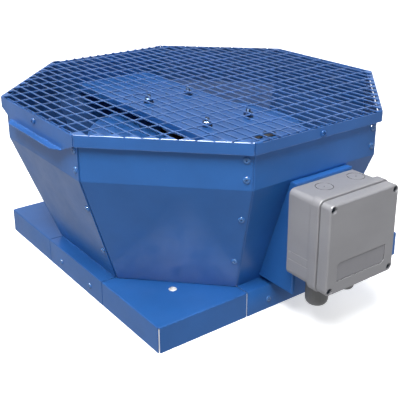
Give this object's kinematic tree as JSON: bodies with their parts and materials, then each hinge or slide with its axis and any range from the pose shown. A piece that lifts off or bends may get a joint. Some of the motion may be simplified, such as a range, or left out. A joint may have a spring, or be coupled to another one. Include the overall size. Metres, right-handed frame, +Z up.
{
  "type": "roof exhaust fan",
  "caption": "Upblast kitchen exhaust fan: folded octagonal casing on a square base, punched top guard, motor with impeller inside, terminal box on the front.",
  "frame": {"origin": "middle of the whole object's box, at the lower edge of the base skirt", "axes": "+Z up along the fan's axis, -Y the front with the terminal box, +X to the right seen from the front"},
  "size_m": [0.59, 0.6522, 0.2845],
  "materials": {
    "blue_coat": "semi-gloss blue powder coat",
    "galvanised": "galvanised sheet",
    "zinc_steel": "zinc-plated or ground steel",
    "box_plastic": "light grey moulded plastic",
    "dark_plastic": "dark grey moulded nylon",
    "rubber": "black rubber",
    "copper_wire": "varnished copper wire",
    "black_coat": "black paint"
  },
  "bodies": {
    "housing": {"base_corner_front_left": "blue_coat", "base_corner_front_right": "blue_coat", "base_corner_rear_left": "blue_coat", "base_corner_rear_right": "blue_coat", "base_plate": "galvanised", "bearing_lower": "zinc_steel", "bearing_upper": "zinc_steel", "front_left_panel": "blue_coat", "front_panel": "blue_coat", "front_right_panel": "blue_coat", "gland_body_1": "dark_plastic", "gland_body_2": "dark_plastic", "guard": "blue_coat", "guard_rim": "blue_coat", "guard_screw_front": "blue_coat", "guard_screw_left": "blue_coat", "guard_screw_rear": "blue_coat", "guard_screw_right": "blue_coat", "inlet_cone": "galvanised", "lead_grommet": "rubber", "left_panel": "blue_coat", "lid_gasket": "rubber", "motor_bolt_1": "zinc_steel", "motor_bolt_2": "zinc_steel", "motor_bolt_3": "zinc_steel", "motor_bolt_4": "zinc_steel", "motor_bridge": "blue_coat", "motor_lead": "rubber", "motor_plate": "galvanised", "rear_left_panel": "blue_coat", "rear_panel": "blue_coat", "rear_right_panel": "blue_coat", "right_panel": "blue_coat", "run_capacitor": "black_coat", "stator_carrier": "galvanised", "stator_stack": "zinc_steel", "terminal_block": "box_plastic", "terminal_box": "box_plastic", "terminal_bracket": "blue_coat", "winding_lower": "copper_wire", "winding_upper": "copper_wire"},
    "rotor": {"impeller_back_plate": "blue_coat", "impeller_blade_1": "blue_coat", "impeller_blade_2": "blue_coat", "impeller_blade_3": "blue_coat", "impeller_blade_4": "blue_coat", "impeller_blade_5": "blue_coat", "impeller_blade_6": "blue_coat", "impeller_blade_7": "blue_coat", "impeller_shroud": "blue_coat", "rotor_shell": "black_coat", "rotor_cage": "zinc_steel", "rotor_shaft": "zinc_steel"},
    "box_lid": {"terminal_box_lid": "box_plastic", "lid_screw_1": "zinc_steel", "lid_screw_2": "zinc_steel", "lid_screw_3": "zinc_steel", "lid_screw_4": "zinc_steel"},
    "gland_nut_left": {"gland_nut_1": "dark_plastic"},
    "gland_nut_right": {"gland_nut_2": "dark_plastic"}
  },
  "joints": [
    {"name": "rotor_spin", "type": "hinge", "parent": "housing", "child": "rotor", "pos_m": [0, 0.03845, 0.17], "axis": [0, 0, 1], "continuous": true},
    {"name": "lid_slide", "type": "slide", "parent": "housing", "child": "box_lid", "axis": [0, -1, 0], "range_m": [0, 0.06]},
    {"name": "gland_turn_left", "type": "hinge", "parent": "housing", "child": "gland_nut_left", "pos_m": [-0.021, -0.27055, 0.055], "axis": [0, 0, 1], "range_deg": [0, 360]},
    {"name": "gland_turn_right", "type": "hinge", "parent": "housing", "child": "gland_nut_right", "pos_m": [0.037, -0.27055, 0.055], "axis": [0, 0, 1], "range_deg": [0, 360]}
  ]
}
